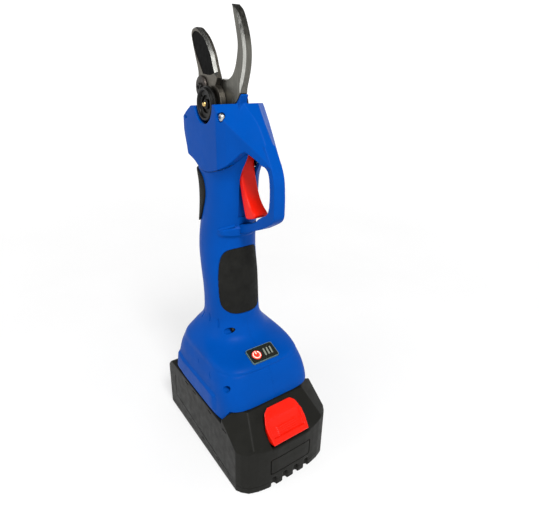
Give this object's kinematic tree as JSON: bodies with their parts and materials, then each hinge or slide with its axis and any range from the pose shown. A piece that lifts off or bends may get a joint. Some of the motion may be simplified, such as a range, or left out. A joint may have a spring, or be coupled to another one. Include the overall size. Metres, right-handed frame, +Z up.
{
  "type": "battery electric pruner",
  "caption": "Cordless pruning shear: curved fixed blade, pivoting cutting blade, guarded trigger, padded pistol grip and a foot that slides onto a battery.",
  "frame": {"origin": "on the table under the middle of the battery's outline", "axes": "+Z up along the handle towards the blades, -Y towards the trigger side, +X to the right of somebody holding the tool"},
  "size_m": [0.075, 0.123, 0.2919],
  "materials": {
    "blue_plastic": "semi-gloss, fine moulded grain",
    "black_plastic": "matt moulded grain",
    "red_plastic": "semi-gloss",
    "grip_rubber": "soft matt",
    "bright_steel": "ground and polished",
    "dark_steel": "black coated",
    "cast_aluminium": "die cast and machined",
    "brass_and_copper": "machined",
    "circuit_board": "solder resist",
    "cell_wrap": "heat-shrink sleeve",
    "natural_plastic": "plain moulding",
    "light_lens": "milky lens"
  },
  "bodies": {
    "battery_pack": {"battery_lower_case": "black_plastic", "battery_upper_case": "black_plastic", "battery_contact_block": "black_plastic", "battery_circuit_board": "circuit_board", "battery_cell_frame": "natural_plastic", "battery_latch_spring": "bright_steel", "battery_cell_01": "cell_wrap", "battery_cell_02": "cell_wrap", "battery_cell_03": "cell_wrap", "battery_cell_04": "cell_wrap", "battery_cell_05": "cell_wrap", "battery_cell_06": "cell_wrap", "battery_cell_07": "cell_wrap", "battery_cell_08": "cell_wrap", "battery_cell_09": "cell_wrap", "battery_cell_10": "cell_wrap"},
    "battery_latch": {"battery_latch_button": "red_plastic"},
    "tool": {"handle_shell_left": "blue_plastic", "handle_shell_right": "blue_plastic", "head_cover": "blue_plastic", "tool_terminal_block": "black_plastic", "status_panel": "black_plastic", "rear_grip_pad": "grip_rubber", "front_grip_pad": "grip_rubber", "fixed_blade": "bright_steel", "cover_screw": "bright_steel", "trigger_pin": "bright_steel", "ring_gear": "bright_steel", "output_bearing": "bright_steel", "shell_screw_neck": "dark_steel", "shell_screw_foot_front": "dark_steel", "motor_can": "dark_steel", "gear_case": "cast_aluminium", "motor_end_cap": "cast_aluminium", "motor_stator": "brass_and_copper", "status_board": "circuit_board", "control_board": "circuit_board", "trigger_sensor_board": "circuit_board", "charge_light_1": "light_lens", "charge_light_2": "light_lens", "charge_light_3": "light_lens"},
    "power_button": {"power_button": "red_plastic"},
    "trigger": {"trigger": "red_plastic", "trigger_spring": "bright_steel"},
    "blade": {"moving_blade": "dark_steel", "blade_sector_gear": "bright_steel", "pivot_bolt": "dark_steel", "pivot_nut": "dark_steel", "thrust_washer": "brass_and_copper", "grease_cap": "brass_and_copper", "nut_lock_disc": "dark_steel", "lock_disc_screw": "dark_steel"},
    "output_shaft": {"planet_carrier": "bright_steel", "bevel_pinion": "bright_steel"},
    "motor_rotor": {"motor_rotor": "bright_steel"},
    "planet_1": {"planet_gear_1": "bright_steel"},
    "planet_2": {"planet_gear_2": "bright_steel"},
    "planet_3": {"planet_gear_3": "bright_steel"}
  },
  "joints": [
    {"name": "tool_slide_off", "type": "slide", "parent": "battery_pack", "child": "tool", "axis": [0, 1, 0], "range_m": [0, 0.1]},
    {"name": "battery_latch_press", "type": "slide", "parent": "battery_pack", "child": "battery_latch", "axis": [0, 0, -1], "range_m": [0, 0.0022], "stiffness_N_per_m": 900, "springref_m": -0.002, "deforming": ["battery_latch_spring"]},
    {"name": "power_button_press", "type": "slide", "parent": "tool", "child": "power_button", "axis": [0, 0.33, -0.944], "range_m": [0, 0.0006], "stiffness_N_per_m": 1500, "springref_m": -0.0004},
    {"name": "trigger_pull", "type": "hinge", "parent": "tool", "child": "trigger", "pos_m": [0, -0.0032, 0.214], "axis": [1, 0, 0], "range_deg": [0, 10], "stiffness_Nm_per_rad": 0.15, "springref_deg": -17.19},
    {"name": "blade_swing", "type": "hinge", "parent": "tool", "child": "blade", "pos_m": [0, 0.0165, 0.2415], "axis": [1, 0, 0], "range_deg": [0, 48]},
    {"name": "output_shaft_turn", "type": "hinge", "parent": "tool", "child": "output_shaft", "pos_m": [0, 0.0165, 0.2], "axis": [0, 0, 1], "range_deg": [-252, 2]},
    {"name": "motor_turn", "type": "hinge", "parent": "tool", "child": "motor_rotor", "pos_m": [0, 0.0165, 0.15], "axis": [0, 0, 1], "range_deg": [-998, 0]},
    {"name": "planet_1_turn", "type": "hinge", "parent": "output_shaft", "child": "planet_1", "pos_m": [0, 0.0237, 0.1896], "axis": [0, 0, 1], "range_deg": [-4, 752]},
    {"name": "planet_2_turn", "type": "hinge", "parent": "output_shaft", "child": "planet_2", "pos_m": [-0.00624, 0.0129, 0.1896], "axis": [0, 0, 1], "range_deg": [-4, 752]},
    {"name": "planet_3_turn", "type": "hinge", "parent": "output_shaft", "child": "planet_3", "pos_m": [0.00624, 0.0129, 0.1896], "axis": [0, 0, 1], "range_deg": [-4, 752]}
  ],
  "couplings": [
    {"joint": "blade_swing", "follows": "motor_turn", "ratio": -0.048077},
    {"joint": "output_shaft_turn", "follows": "motor_turn", "ratio": 0.25},
    {"joint": "planet_1_turn", "follows": "motor_turn", "ratio": -0.75},
    {"joint": "planet_2_turn", "follows": "motor_turn", "ratio": -0.75},
    {"joint": "planet_3_turn", "follows": "motor_turn", "ratio": -0.75}
  ]
}
